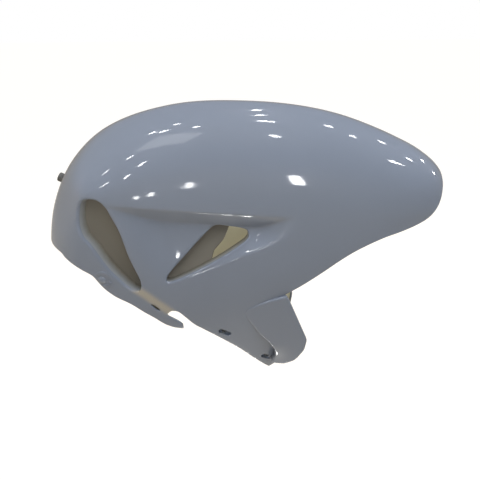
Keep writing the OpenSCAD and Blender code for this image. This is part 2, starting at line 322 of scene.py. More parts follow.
def distance_to(points, run):
    """Distance of each side view point from an open run of points."""
    p = np.asarray(points, float)
    best = np.full(len(p), 1e9)
    for (ax, az), (bx, bz) in zip(run, run[1:]):
        dx, dz = bx - ax, bz - az
        t = np.clip(((p[:, 0] - ax) * dx + (p[:, 1] - az) * dz) / (dx * dx + dz * dz), 0, 1)
        best = np.minimum(best, np.hypot(p[:, 0] - ax - t * dx, p[:, 1] - az - t * dz))
    return best


def rounded_corners(points, radius, steps=4):
    """A polygon with each corner turned into a short curve."""
    out = []
    for i, corner in enumerate(points):
        a, b, c = Vector(points[i - 1]), Vector(corner), Vector(points[(i + 1) % len(points)])
        start = b + (a - b).normalized() * min(radius, (a - b).length * 0.45)
        end = b + (c - b).normalized() * min(radius, (c - b).length * 0.45)
        for k in range(steps + 1):
            f = k / steps
            out.append(tuple(start * (1 - f) ** 2 + b * 2 * f * (1 - f) + end * f * f))
    return out


def kept_skin(p):
    """Above 0 where the skin stays: inside the outline and outside the openings' rolled edges."""
    return np.minimum.reduce([inside_by(p, SIDE_OUTLINE) - RIM_ROUND, -inside_by(p, CRESCENT) - ROLL,
                              -inside_by(p, VENT_LOOP) - ROLL, -inside_by(p, EYE_LOOP) - 0.6])


# ---- mesh tools

# Material slots of the moulding; the rims have a slot of their own until they are rounded
PAINTED, BARE, MIST_AND_SHADE, MISTED_BACK, RIM = 0, 1, 2, 3, 4


def side_points(verts):
    return [(v.co.x, v.co.z) for v in verts]


def flank_sheet(sink=0.0):
    """The right half's outer face as a grid, moved inward by sink."""
    bm = bmesh.new()
    bmesh.ops.create_grid(bm, x_segments=ROWS, y_segments=COLS, size=1)
    for v in bm.verts:
        i, j = round((v.co.x + 1) / 2 * ROWS), round((v.co.y + 1) / 2 * COLS)
        v.co = SURFACE[i, j]
        v.co.y = min(0.0, v.co.y + sink) if sink else v.co.y
    outward(bm)
    return bm


def outward(bm):
    """Turns an open sheet of the right side so that its faces look away from the wheel."""
    bm.normal_update()
    if sum(f.normal.y * f.calc_area() for f in bm.faces) > 0:
        bmesh.ops.reverse_faces(bm, faces=bm.faces)
        bm.normal_update()


def trim(bm, keep):
    """Cuts a sheet along the side view line where keep is 0, and drops the part where it is negative."""
    verts = list(bm.verts)
    share = dict(zip(verts, keep(side_points(verts))))
    # A point close to the line moves onto it, so that no sliver is left beside the cut
    nearest = {}
    for e in bm.edges:
        a, b = e.verts
        if share[a] * share[b] < 0:
            t = share[a] / (share[a] - share[b])
            for v, w, f in ((a, b, t), (b, a, 1 - t)):
                d = f * e.calc_length()
                if f < 0.38 and (v not in nearest or d < nearest[v][0]):
                    nearest[v] = (d, v.co.lerp(w.co, f))
    for v, (_, co) in nearest.items():
        v.co = co
        share[v] = 0.0
    for e in list(bm.edges):
        a, b = e.verts
        if share[a] * share[b] < 0:
            _, v = bmesh.utils.edge_split(e, a, share[a] / (share[a] - share[b]))
            share[v] = 0.0
    on_line = [v for v in bm.verts if share[v] == 0.0]
    bmesh.ops.connect_verts(bm, verts=on_line)
    drop = [f for f in bm.faces if sum(share[v] for v in f.verts) < 0]
    bmesh.ops.delete(bm, geom=drop, context="FACES")
    loose = [v for v in bm.verts if not v.link_faces]
    bmesh.ops.delete(bm, geom=loose, context="VERTS")


def edge_near(bm, outline, gap, reach=0.9):
    """The open edges of a sheet that lie along a side view outline, at a gap outside it."""
    edges = [e for e in bm.edges if e.is_boundary]
    near = np.ones(len(edges), bool)
    for k in (0, 1):
        ends = side_points([e.verts[k] for e in edges])
        near &= np.abs(inside_by(ends, outline) + gap) < reach
    return [e for e, yes in zip(edges, near) if yes]


def roll_in(bm, edges, radius, depth_of, slot, depth_layer, lean=0.0):
    """Rolls the open edges of a sheet over a rounded corner and in to a depth.

    depth_of gives the depth and the share of the lean at a point."""
    away = {}
    for e in edges:
        a, b = (v.co for v in e.verts)
        flat = Vector((b.z - a.z, 0, a.x - b.x)).normalized()
        if flat.dot((a + b) / 2 - e.link_faces[0].calc_center_median()) < 0:
            flat.negate()
        for v in e.verts:
            away[v] = away.get(v, Vector()) + flat
    first = {v: (v.co.copy(), d.normalized(), *depth_of(v.co)) for v, d in away.items()}
    steps = [(math.sin(t), 1 - math.cos(t), 0.0) for t in (math.pi / 6, math.pi / 3, math.pi / 2)]
    steps += [(1.0, 1.0, f) for f in (0.33, 0.67, 1.0)]
    origin = {v: v for v in first}
    for side, corner, straight in steps:
        made = bmesh.ops.extrude_edge_only(bm, edges=edges)["geom"]
        verts = {g for g in made if isinstance(g, bmesh.types.BMVert)}
        edges = [g for g in made if isinstance(g, bmesh.types.BMEdge) and g.is_boundary
                 and all(v in verts for v in g.verts)]
        for f in made:
            if isinstance(f, bmesh.types.BMFace):
                f.material_index = slot if straight else PAINTED
        new = {}
        for v in verts:
            for e in v.link_edges:
                w = e.other_vert(v)
                if w in origin:
                    new[v] = origin[w]
        for v, start in new.items():
            co, out, depth, share = first[start]
            deep = radius * corner + straight * (depth - radius)
            v.co = co + out * radius * side + Vector((lean * share * deep, deep, 0))
            v[depth_layer] = straight * depth / FLANGE_DEPTH
        origin = new


# Depth and height of the rounding's points, as shares of its radius
RIM_PROFILE = [(0.134, 0.5), (0.5, 0.866), (1.0, 1.0)]


def round_rims(obj, rim_slot, finish, radius, thickness):
    """Bulges the flat rims that Solidify leaves, so that each moulded edge is rounded on both sides."""
    bm = bmesh.new()
    bm.from_mesh(obj.data)
    bm.normal_update()
    rim = {f for f in bm.faces if f.material_index == rim_slot}
    across = [e for e in bm.edges if len(e.link_faces) == 2 and rim.issuperset(e.link_faces)]
    outer = {v for f in bm.faces if f.material_index in (PAINTED, MIST_AND_SHADE) for v in f.verts}
    depths = [d * radius / thickness for d, _ in RIM_PROFILE]
    depths += [1 - d for d in reversed(depths)]
    heights = [h * radius for _, h in RIM_PROFILE]
    heights += heights[::-1]
    # The new points are found again by their even places on the flat rim
    cuts = len(depths)
    even = KDTree(len(across) * cuts)
    goals = []
    for e in across:
        out = sum((f.normal for f in e.link_faces), Vector()).normalized()
        a, b = (v.co.copy() for v in (e.verts if e.verts[0] in outer else reversed(e.verts)))
        for k in range(cuts):
            even.insert(a.lerp(b, (k + 1) / (cuts + 1)), len(goals))
            goals.append(a.lerp(b, depths[k]) + out * heights[k])
    even.balance()
    made = bmesh.ops.subdivide_edges(bm, edges=across, cuts=cuts, use_grid_fill=False)["geom_inner"]
    for v in (g for g in made if isinstance(g, bmesh.types.BMVert)):
        _, k, gap = even.find(v.co)
        if gap < 0.01:
            v.co = goals[k]
    for f in bm.faces:
        if f.material_index == rim_slot:
            f.material_index = finish
    bm.normal_update()
    bm.to_mesh(obj.data)
    bm.free()
    return obj


def mesh_object(name, bm, materials=()):
    me = bpy.data.meshes.new(name)
    bm.to_mesh(me)
    bm.free()
    for m in materials:
        me.materials.append(m)
    obj = bpy.data.objects.new(name, me)
    bpy.context.scene.collection.objects.link(obj)
    return obj


def with_modifiers(obj, *steps):
    """Adds modifiers to an object, given as (type, settings), and bakes them into its mesh."""
    for kind, settings in steps:
        mod = obj.modifiers.new(kind, kind)
        for key, value in settings.items():
            setattr(mod, key, value)
    bpy.context.view_layer.update()
    deps = bpy.context.evaluated_depsgraph_get()
    me = bpy.data.meshes.new_from_object(obj.evaluated_get(deps), preserve_all_data_layers=True,
                                         depsgraph=deps)
    obj.modifiers.clear()
    old, name = obj.data, obj.data.name
    obj.data = me
    bpy.data.meshes.remove(old)
    me.name = name
    return obj


def discard(obj):
    """Removes an object and its mesh."""
    me = obj.data
    bpy.data.objects.remove(obj)
    bpy.data.meshes.remove(me)


def joined(name, objects):
    """Several objects as one mesh, their shared material slots kept."""
    bm = bmesh.new()
    for o in objects:
        bm.from_mesh(o.data)
    materials = list(objects[0].data.materials)
    for o in objects:
        discard(o)
    return mesh_object(name, bm, materials)


def to_row_frame(obj):
    """Brings a finished mesh from millimetres at the axle to metres at the rear fork bolt."""
    obj.data.transform(Matrix.Translation(-REAR_BOLT / 1000) @ Matrix.Scale(0.001, 4))
    obj.data.update()
    return obj


def shade(obj, degrees=38):
    """Smooth shading that stays sharp over edges steeper than this."""
    obj.data.shade_smooth()
    obj.data.set_sharp_from_angle(angle=math.radians(degrees))


def rod_between(bm, start, end, radius, segments=32):
    """Adds a round rod between two points."""
    start, end = Vector(start), Vector(end)
    axis = end - start
    turn = axis.to_track_quat("Z", "Y").to_matrix().to_4x4()
    bmesh.ops.create_cone(bm, cap_ends=True, cap_tris=False, segments=segments, radius1=radius,
                          radius2=radius, depth=axis.length,
                          matrix=Matrix.Translation((start + end) / 2) @ turn)


# ---- materials

def add_node(tree, kind, inputs=(), **settings):
    """Adds a shader node; inputs holds (socket, value or another node's output) pairs."""
    node = tree.nodes.new("ShaderNode" + kind)
    for key, value in settings.items():
        setattr(node, key, value)
    for key, value in inputs:
        if isinstance(value, bpy.types.NodeSocket):
            tree.links.new(value, node.inputs[key])
        else:
            node.inputs[key].default_value = value
    return node


def new_material(name):
    mat = bpy.data.materials.new(name)
    mat.use_nodes = True
    mat.node_tree.nodes.clear()
    return mat, mat.node_tree


def surface_out(tree, shader):
    add_node(tree, "OutputMaterial", [("Surface", shader)])


def colour_between(tree, factor, low, high):
    """A colour between two by a factor, each a linear colour or another node's output."""
    ends = [c if isinstance(c, bpy.types.NodeSocket) else (*c, 1) for c in (low, high)]
    return add_node(tree, "Mix", [("Factor", factor), (6, ends[0]), (7, ends[1])],
                    data_type="RGBA").outputs[2]


def shades(colour, share):
    """A darker and a paler shade of a colour."""
    return [[c * (1 + k) for c in colour] for k in (-share, share)]


def value_range(tree, value, from_min, from_max, to_min, to_max):
    return add_node(tree, "MapRange", [("Value", value), ("From Min", from_min), ("From Max", from_max),
                                       ("To Min", to_min), ("To Max", to_max)]).outputs["Result"]


def per_mm(size):
    """Texture scale on coordinates in metres for a feature of this size in millimetres."""
    return 1000.0 / size


def noise(tree, where, size, detail, **inputs):
    """A noise pattern whose features are this many millimetres wide."""
    return add_node(tree, "TexNoise", [("Vector", where), ("Scale", per_mm(size)), ("Detail", detail),
                                       *inputs.items()]).outputs["Fac"]


def bump_of(tree, height, strength, metres):
    return add_node(tree, "Bump", [("Strength", strength), ("Distance", metres),
                                   ("Height", height)]).outputs["Normal"]


def gloss_paint(sizes):
    """Two-pack blue-grey gloss paint on ABS: an even colour under a clear coat, with a faint orange peel
    that softens the edges of its highlights."""
    mat, tree = new_material("blue_grey_gloss_paint")
    where = add_node(tree, "TexCoord").outputs["Object"]
    colour = colour_between(tree, noise(tree, where, 90, 2.0), *shades(sizes.paint, 0.045))
    # The strip beside the tongue is drawn in a paler beige than the paint
    strip_share = add_node(tree, "Attribute", attribute_name="pale_strip").outputs["Fac"]
    colour = colour_between(tree, strip_share, colour, linear("#9f9b90"))
    normal = bump_of(tree, noise(tree, where, mm(sizes.peel), 1.0), 0.5, 0.000012)
    rough = value_range(tree, noise(tree, where, 25, 3.0), 0.3, 0.7, 0.36, 0.44)
    shader = add_node(tree, "BsdfPrincipled", [
        ("Base Color", colour), ("Roughness", rough), ("IOR", 1.5), ("Specular IOR Level", 0.25),
        ("Coat Weight", 1.0), ("Coat Roughness", 0.05), ("Coat IOR", 1.5),
        ("Normal", normal), ("Coat Normal", normal)])
    surface_out(tree, shader.outputs["BSDF"])
    return mat


def dull_plastic(tree, colour, rough, ior, normal):
    """Ends a material as a plain plastic without a coat."""
    shader = add_node(tree, "BsdfPrincipled", [("Base Color", colour), ("Roughness", rough),
                                               ("IOR", ior), ("Normal", normal)])
    surface_out(tree, shader.outputs["BSDF"])


def natural_abs(sizes):
    """Unpainted natural ABS as it leaves the mould: warm and dull, with flow marks and a grain."""
    mat, tree = new_material("natural_abs_unpainted")
    where = add_node(tree, "TexCoord").outputs["Object"]
    flow = add_node(tree, "Mapping", [("Vector", where), ("Scale", (0.35, 1.0, 1.0))]).outputs["Vector"]
    marks = noise(tree, flow, 30, 4.0, Distortion=0.4)
    colour = colour_between(tree, marks, *shades(sizes.bare, 0.066))
    rough = value_range(tree, marks, 0.3, 0.7, 0.42, 0.55)
    # The tool's spark grain of about 0.1 mm is drawn at 0.7 mm, so that it shows
    dull_plastic(tree, colour, rough, 1.52, bump_of(tree, noise(tree, where, 0.7, 2.0), 0.4, 0.00003))
    return mat


def paint_mist_and_shade():
    """The walls of the openings, where the spray thins out with depth to a dry mist over bare ABS. Its
    rough grey-brown, far darker than the natural ABS, is painted shade that keeps the openings dark."""
    mat, tree = new_material("paint_mist_and_shade_on_abs")
    where = add_node(tree, "TexCoord").outputs["Object"]
    depth = add_node(tree, "Attribute", attribute_name="mist_depth").outputs["Fac"]
    level = add_node(tree, "Math", [(0, noise(tree, where, 6, 4.0)), (1, 0.35), (2, depth)],
                     operation="MULTIPLY_ADD").outputs[0]
    share = value_range(tree, level, 0.35, 0.95, 0.0, 1.0)
    # Thinning paint towards bare ABS; the deep end is drawn dark grey-brown as painted shade inside the
    # openings
    colour = colour_between(tree, share, linear("#84898d"), linear("#706c62"))
    rough = value_range(tree, share, 0.0, 1.0, 0.35, 0.6)
    # Spray dust of about 0.05 mm is drawn at 0.6 mm, so that it shows
    dull_plastic(tree, colour, rough, 1.5, bump_of(tree, noise(tree, where, 0.6, 2.0), 0.5, 0.00003))
    return mat


def stud_polypropylene(sizes):
    """Moulded dark grey polypropylene: slightly waxy and matt, with faint swirls."""
    mat, tree = new_material("dark_grey_polypropylene")
    where = add_node(tree, "TexCoord").outputs["Object"]
    swirl = noise(tree, where, 4, 3.0, Distortion=1.0)
    colour = colour_between(tree, swirl, *shades(sizes.stud, 0.215))
    rough = value_range(tree, swirl, 0.3, 0.7, 0.42, 0.52)
    # Grain of about 0.1 mm is drawn at 0.5 mm, so that it shows
    dull_plastic(tree, colour, rough, 1.49, bump_of(tree, noise(tree, where, 0.5, 2.0), 0.4, 0.00002))
    return mat


# ---- the painted moulding

def skin_half():
    """The right half of the skin as one sheet: trimmed, with the openings' edges rolled in."""
    bm = flank_sheet()
    mist = bm.verts.layers.float.new("mist_depth")
    strip_share = bm.verts.layers.float.new("pale_strip")
    trim(bm, kept_skin)
    for v, d in zip(bm.verts, distance_to(side_points(bm.verts), STRIP)):
        v[strip_share] = ramp(1.25 - d / STRIP_HALF)
    roll_in(bm, edge_near(bm, VENT_LOOP, ROLL), ROLL, lambda co: (FLANGE_DEPTH, 0.0), MIST_AND_SHADE, mist)

    def duct_depth(co):
        # Full depth and lean along the rear edge, a plain rolled edge along the side panel
        share = ramp(float(inside_by([(co.x, co.z)], DUCT_SIDE)[0]) / 10)
        return mix(CRESCENT_ROLL, FLANGE_DEPTH, share), share

    roll_in(bm, edge_near(bm, CRESCENT, ROLL), ROLL, duct_depth, MIST_AND_SHADE, mist, DUCT_LEAN)
    bm.normal_update()
    return bm


def patch(sink, keep, slot, mist_value):
    """A trimmed sheet behind an opening."""
    bm = flank_sheet(sink)
    mist = bm.verts.layers.float.new("mist_depth")
    trim(bm, keep)
    for v in bm.verts:
        v[mist] = mist_value
    for f in bm.faces:
        f.material_index = slot
    return bm


def from_point(p, x, z):
    """Distance of each side view point from one of them."""
    return np.hypot(np.asarray(p)[:, 0] - x, np.asarray(p)[:, 1] - z)


def duct_floor():
    """The floor of the duct behind the crescent."""
    shift = [DUCT_LEAN * (FLANGE_DEPTH - 3), 0]
    return patch(FLANGE_DEPTH, lambda p: inside_by(np.asarray(p) - shift, CRESCENT_SLIT) + OVERLAP,
                 MIST_AND_SHADE, 0.9)


def vent_baffle():
    """The baffle behind the rear part of the vent."""
    return patch(FLANGE_DEPTH,
                 lambda p: np.minimum(inside_by(p, VENT_LOOP) + OVERLAP, inside_by(p, BAFFLE)), MIST_AND_SHADE, 0.9)


def eye_back():
    """A small cup behind the eye in the tongue, drawn in the dark grey-brown of painted shade, which keeps
    the eye dark.
    """
    x, z = np.mean(TONGUE_EYE, axis=0)
    return patch(CUP_DEPTH, lambda p: CUP_RADIUS - from_point(p, x, z), MIST_AND_SHADE, 0.9)


def dome_collar():
    """The flat ring round the dome on the tail band, which stands a little proud of the skin."""
    def ring(p):
        return np.minimum(1.7 - np.abs(from_point(p, DOME_X, DOME_Z) - COLLAR_RADIUS), kept_skin(p) - 1)
    return patch(-0.7, ring, PAINTED, 0.0)


def boot_half():
    """The flat fork boot with the rim that joins its upper and rear edges to the skirt."""
    bm = bmesh.new()
    lo, hi = np.min(BOOT, axis=0) - 2, np.max(BOOT, axis=0) + 2
    cells = [int((hi[k] - lo[k]) / 2.4) for k in (0, 1)]
    bmesh.ops.create_grid(bm, x_segments=cells[0], y_segments=cells[1], size=1)
    for v in bm.verts:
        v.co = Vector((mix(lo[0], hi[0], (v.co.x + 1) / 2), 0, mix(lo[1], hi[1], (v.co.y + 1) / 2)))
    mist = bm.verts.layers.float.new("mist_depth")
    outline = rounded_corners(BOOT, 3.0)
    trim(bm, lambda p: inside_by(p, outline) - ROLL)
    # The plate stands proud of the skirt at its top edge, leans in towards its foot and curves in a
    # little more at its lower rear corner
    for v in bm.verts:
        plate = -BOOT_TOP + (BOOT[0][1] - v.co.z) * math.tan(math.radians(BOOT_LEAN))
        share = ramp((46 - v.co.z) / 36) * ramp((54 - v.co.x) / 32)
        v.co.y = plate + BOOT_CURVE * share
    outward(bm)

    def boot_depth(co):
        # In to the skirt along the upper and rear edges, and a plain rolled edge elsewhere
        share = ramp(0.5 + float(inside_by([(co.x, co.z)], BOOT_RIM_SIDE)[0]) / 4)
        return mix(BOOT_ROLL, max(BOOT_ROLL, -co.y - face_at(co.x, co.z) + 2.0), share), 0.0

    roll_in(bm, [e for e in bm.edges if e.is_boundary], ROLL, boot_depth, PAINTED, mist)
    for v in bm.verts:
        v[mist] = 0.0
    bm.normal_update()
    return bm


def boss_blocks():
    """The blocks behind the fork bolts, which follow the inner face of the flank."""
    out = []
    for x, z, _, _ in BOLTS:
        bm = flank_sheet(1.0)
        trim(bm, lambda p: BOSS_RADIUS - from_point(p, x, z))
        geom = bmesh.ops.extrude_face_region(bm, geom=list(bm.faces))["geom"]
        for v in (g for g in geom if isinstance(g, bmesh.types.BMVert)):
            v.co.y += BOSS_DEPTH
        bmesh.ops.recalc_face_normals(bm, faces=bm.faces)
        out.append(bm)
    return out


def band_dome():
    """The small moulded dome on the tail band."""
    bm = bmesh.new()
    bmesh.ops.create_uvsphere(bm, u_segments=28, v_segments=14, radius=DOME_RADIUS,
                              matrix=Matrix.Translation((DOME_X, -DOME_Y, DOME_Z)))
    return bm


def bolt_cutters():
    """The bores of the fork bolts, and the long recesses over them on both sides."""
    out = []
    for x, z, pad, tilt in BOLTS:
        bm = bmesh.new()
        rod_between(bm, (x, -120, z), (x, 120, z), BORE_RADIUS)
        out.append(bm)
        along = Vector((math.cos(math.radians(tilt)), 0, math.sin(math.radians(tilt))))
        for side in (-1, 1):
            bm = bmesh.new()
            rod_between(bm, (x, side * pad, z), (x, side * (pad + RECESS_DEPTH), z), RECESS_RADIUS)
            for v in bm.verts:
                v.co += along * math.copysign(RECESS_HALF, (v.co - Vector((x, v.co.y, z))).dot(along))
            bmesh.ops.recalc_face_normals(bm, faces=bm.faces)
            out.append(bm)
    return out


# Place and direction of the stud on the tail
STUD_TURN = Matrix.Translation((-223.2, 20, 237.2)) @ Matrix.Rotation(math.radians(-66), 4, "Y") \
    @ Matrix.Rotation(math.radians(-10), 4, "X")


def stud_cutter():
    """The hole for the stud's foot, with a flat seat for its head."""
    bm = bmesh.new()
    rod_between(bm, (0, 0, -20), (0, 0, 20), HOLE_RADIUS)
    rod_between(bm, (0, 0, 0), (0, 0, 20), SEAT_RADIUS, 40)
    bmesh.ops.transform(bm, matrix=STUD_TURN, verts=bm.verts)
    return bm


def build_moulding(sizes):
    """The painted moulding as one piece."""
    materials = [gloss_paint(sizes), natural_abs(sizes), paint_mist_and_shade()]
    materials += [materials[BARE], materials[PAINTED]]
    half = ("MIRROR", dict(use_axis=(False, True, False), use_mirror_merge=True, merge_threshold=0.01))

    def walled(obj, thickness, round_mm, finish, *before):
        shell = ("SOLIDIFY", dict(thickness=thickness, offset=-1.0, use_even_offset=True, use_rim=True,
                                  material_offset=1, material_offset_rim=RIM))
        with_modifiers(obj, *before, shell)
        return round_rims(obj, RIM, finish, round_mm, thickness)

    skin = walled(mesh_object("mudguard_moulding", skin_half(), materials), mm(sizes.wall), RIM_ROUND,
                  PAINTED, half)
    cutters = [mesh_object("cutter", bm) for bm in bolt_cutters() + [stud_cutter()]]
    bosses = []
    for bm in boss_blocks():
        part = mesh_object("boss", bm, materials)
        for f in part.data.polygons:
            f.material_index = BARE
        bosses.append(with_modifiers(part, half))
    for operation, others in (("UNION", bosses), ("DIFFERENCE", cutters)):
        with_modifiers(skin, *[("BOOLEAN", dict(operation=operation, object=o, solver="MANIFOLD"))
                               for o in others])
    for c in cutters + bosses:
        discard(c)
    parts = [skin]
    # The duct, the baffle and the eye's cup take the mist finish near its dark grey-brown end: painted
    # shade behind the openings
    for name, bm, thick, finish in (
            ("duct", duct_floor(), 2.5, MIST_AND_SHADE), ("baffle", vent_baffle(), 2.5, MIST_AND_SHADE),
            ("eye", eye_back(), 1.5, MIST_AND_SHADE), ("boot", boot_half(), 3.0, PAINTED),
            ("collar", dome_collar(), 1.8, PAINTED)):
        part = walled(mesh_object(name, bm, materials), thick, min(RIM_ROUND, 0.35 * thick), finish)
        parts.append(with_modifiers(part, half))
    parts.append(with_modifiers(mesh_object("dome", band_dome(), materials), half))
    whole = joined("mudguard_moulding", parts)
    to_row_frame(whole)
    shade(whole)
    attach(whole, "root")
    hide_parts("mudguard_shell")


def build_stud(sizes):
    """The round hose guide stud on the tail, with its foot through the skin."""
    bm = bmesh.new()
    rod_between(bm, (0, 0, 0), (0, 0, STUD_HEIGHT), STUD_RADIUS, 48)
    end = [e for e in bm.edges if all(v.co.z > STUD_HEIGHT - 0.1 for v in e.verts)]
    bmesh.ops.bevel(bm, geom=end, affect="EDGES", offset=mm(sizes.stud_round), segments=4, profile=0.5,
                    material=-1)
    rod_between(bm, (0, 0, FOOT_START), (0, 0, FOOT_END), FOOT_RADIUS)
    rod_between(bm, (0, 0, INNER_START), (0, 0, INNER_END), INNER_RADIUS)
    bmesh.ops.transform(bm, matrix=STUD_TURN, verts=bm.verts)
    bmesh.ops.recalc_face_normals(bm, faces=bm.faces)
    stud = to_row_frame(mesh_object("hose_guide_peg", bm, [stud_polypropylene(sizes)]))
    shade(stud)
    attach(stud, "root")
    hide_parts("hose_guide_stud")


# ---- floor, light and camera

# Sizes and places from here on are in metres, from the rear fork bolt
FLOOR_Z, FLOOR_HALF = -0.6, 9
# Brightness of the floor in reflections, as a share of what the camera sees
FLOOR_IN_GLOSS = 0.35
ROOM_RADIUS = 4
CEILING = 1.83
# Place in metres, width and height of each small ceiling lamp
CEILING_LAMPS = [
    (0.74, -2.36, 0.48, 0.10, 0.35), (-0.08, -2.47, 0.28, 0.03, 0.22),
    (-0.26, -2.46, 0.02, 0.03, 0.20), (-0.37, -2.44, -0.11, 0.03, 0.18),
    (-0.96, -2.11, 1.14, 0.04, 0.14), (-1.26, -1.50, 1.75, 0.05, 0.12),
    (-0.68, -2.18, 1.19, 0.04, 0.16), (-0.62, -1.95, 1.59, 0.05, 0.16),
    (-0.85, -1.29, CEILING, 0.05, 0.12), (-0.59, -0.20, CEILING, 0.06, 0.08),
    (-0.48, -0.30, CEILING, 0.06, 0.08), (-0.35, -0.04, CEILING, 0.06, 0.08),
    (-0.14, -0.38, CEILING, 0.06, 0.08),
    (0.34, 0.99, CEILING, 0.06, 0.12), (0.34, 0.41, CEILING, 0.06, 0.12),
    (0.39, -0.05, CEILING, 0.07, 0.14), (0.53, -0.97, CEILING, 0.07, 0.14),
    (0.99, 0.25, CEILING, 0.12, 0.08), (1.34, 0.00, CEILING, 0.12, 0.08),
    (1.82, 0.61, CEILING, 0.12, 0.08), (1.99, -0.76, 1.62, 0.20, 0.10), (2.11, 0.10, 1.67, 0.14, 0.10),
    (2.18, 0.91, 1.25, 0.14, 0.10), (2.44, 0.57, 0.96, 0.14, 0.14)]
# Place along the part in metres and width of each low lamp for the crease
CREASE_LAMPS = [(-0.064, 0.012), (-0.012, 0.022), (0.046, 0.034), (0.136, 0.018)]
CREASE_LAMP_Y, CREASE_LAMP_Z, CREASE_LAMP_DEPTH = -0.19, -0.57, 0.06

CAMERA_TARGET = Vector((0.023, 0.0, 0.093))
CAMERA_DISTANCE = 0.760
CAMERA_SIDE, CAMERA_UP = math.radians(-4), math.radians(24)
CAMERA_LENS, CAMERA_SENSOR = 45.6, 36.0


def seen_directly(tree, in_reflections):
    """1 where the camera sees a surface, a given share in reflections, 0 for the light it sends."""
    rays = add_node(tree, "LightPath").outputs
    direct = add_node(tree, "Math", [(0, rays["Is Camera Ray"]), (1, rays["Is Transmission Ray"])],
                      operation="MAXIMUM").outputs[0]
    return add_node(tree, "Math", [(0, rays["Is Glossy Ray"]), (1, in_reflections), (2, direct)],
                    operation="MULTIPLY_ADD").outputs[0]


def build_floor(light):
    """A plain floor: white to the camera, and a paler grey than the room in reflections."""
    bm = bmesh.new()
    bmesh.ops.create_grid(bm, x_segments=1, y_segments=1, size=FLOOR_HALF,
                          matrix=Matrix.Translation((0, 0, FLOOR_Z)))
    mat, tree = new_material("pale_floor")
    glow = value_range(tree, seen_directly(tree, FLOOR_IN_GLOSS), 0.0, 1.0, 0.0, light.floor_glow)
    shader = add_node(tree, "BsdfPrincipled", [
        ("Base Color", (*linear("#7e7159"), 1)), ("Roughness", 0.9), ("Specular IOR Level", 0.0),
        ("Emission Color", (1, 1, 1, 1)), ("Emission Strength", glow)])
    surface_out(tree, shader.outputs["BSDF"])
    mesh_object("floor", bm, [mat])


def build_backdrop(light):
    """The room that the gloss paint reflects: a blue-grey ceiling over warmer grey walls."""
    bm = bmesh.new()
    bmesh.ops.create_uvsphere(bm, u_segments=48, v_segments=24, radius=ROOM_RADIUS)
    bmesh.ops.reverse_faces(bm, faces=bm.faces)
    mat, tree = new_material("room_backdrop")
    where = add_node(tree, "TexCoord").outputs["Object"]
    height = add_node(tree, "SeparateXYZ", [("Vector", where)]).outputs["Z"]
    colour = colour_between(tree, value_range(tree, height, 0.4, 1.8, 0.0, 1.0), linear("#958f86"),
                            linear("#97a0b0"))
    glow = add_node(tree, "Emission", [("Color", colour), ("Strength", light.backdrop)])
    surface_out(tree, glow.outputs[0])
    room = mesh_object("backdrop", bm, [mat])
    room.visible_camera = room.visible_diffuse = room.visible_shadow = room.visible_transmission = False


def build_world(light):
    """Light from all round: full from overhead, weak from the level of the part and below."""
    world = bpy.data.worlds.new("soft_room")
    bpy.context.scene.world = world
    world.use_nodes = True
    tree = world.node_tree
    tree.nodes.clear()
    where = add_node(tree, "TexCoord").outputs["Generated"]
    up = add_node(tree, "SeparateXYZ", [("Vector", where)]).outputs["Z"]
    level = value_range(tree, up, -0.05, 0.75, 0.05 * light.room, light.room)
    room = add_node(tree, "Background", [("Color", (*linear("#eceef4"), 1)), ("Strength", level)])
    white = add_node(tree, "Background", [("Color", (1, 1, 1, 1)), ("Strength", 1.0)])
    both = add_node(tree, "MixShader", [(0, seen_directly(tree, 1.0)), (1, room.outputs[0]),
                                        (2, white.outputs[0])])
    add_node(tree, "OutputWorld", [("Surface", both.outputs[0])])


def lamp(name, place, size, power, colour="#ffffff", aim=(0.02, 0, 0.1), spread=180, glossy=True,
         diffuse=True):
    """A rectangular lamp that the camera doesn't see; glossy and diffuse say what shows its light."""
    data = bpy.data.lights.new(name, "AREA")
    data.shape, data.size, data.size_y = "RECTANGLE", size[0], size[1]
    data.energy = power
    data.color = linear(colour)
    data.spread = math.radians(spread)
    obj = bpy.data.objects.new(name, data)
    bpy.context.scene.collection.objects.link(obj)
    obj.location = place
    obj.rotation_euler = (Vector(aim) - Vector(place)).to_track_quat("-Z", "Y").to_euler()
    obj.visible_glossy, obj.visible_diffuse = glossy, diffuse
    obj.visible_camera = False


def build_lamps(light):
    """Softboxes that don't show in the paint, and lamps that do."""
    def softbox(name, place, size, power, **settings):
        lamp(name, place, size, power * light.key, glossy=False, **settings)

    softbox("softbox_above", (0.2, -0.85, 1.8), (1.4, 1.2), 18)
    softbox("softbox_far", (0.2, 1.0, 1.6), (1.2, 1.2), 7.5, colour="#ffeccf")
    softbox("softbox_front", (1.5, -1.2, 1.2), (1.0, 1.0), 3)
    softbox("softbox_rear", (-1.45, -0.2, 0.2), (0.8, 0.8), 10, colour="#ffeacb")
    softbox("bounce_below", (0.05, -0.04, -0.55), (0.8, 0.8), 4.4, colour="#fffaf0")
    # Narrow soft beams: one on the flank over the lip, one on the lower edge of the skirt
    softbox("flank_beam", (0.05, -0.65, 0.30), (0.6, 0.1), 0.065, aim=(0.05, -0.06, 0.185), spread=30)
    softbox("skirt_beam", (0.05, -0.6, -0.35), (0.6, 0.1), 0.02, aim=(0.03, -0.05, -0.10), spread=30,
            colour="#ffd9a8")
    # A pale window and a doorway that show in the paint
    lamp("window", (-0.4, -0.9, CEILING), (0.55, 0.5), 1.8)
    lamp("doorway", (-2.2, -0.35, 1.0), (0.25, 1.4), 1.4, colour="#d8d4f0")
    # Small ceiling lamps, each where its reflection in the gloss paint falls in the photograph
    for k, (x, y, z, wide, high) in enumerate(CEILING_LAMPS):
        lamp("ceiling_lamp_%02d" % k, (x, y, z), (wide, high), light.lamps * math.pi * wide * high)
    # Low lamps that only reflections see, for the short bright dashes on the rounded crease
    for k, (x, wide) in enumerate(CREASE_LAMPS):
        lamp("crease_lamp_%02d" % k, (x, CREASE_LAMP_Y, CREASE_LAMP_Z), (wide, CREASE_LAMP_DEPTH),
             light.lamps * math.pi * wide * CREASE_LAMP_DEPTH, diffuse=False)


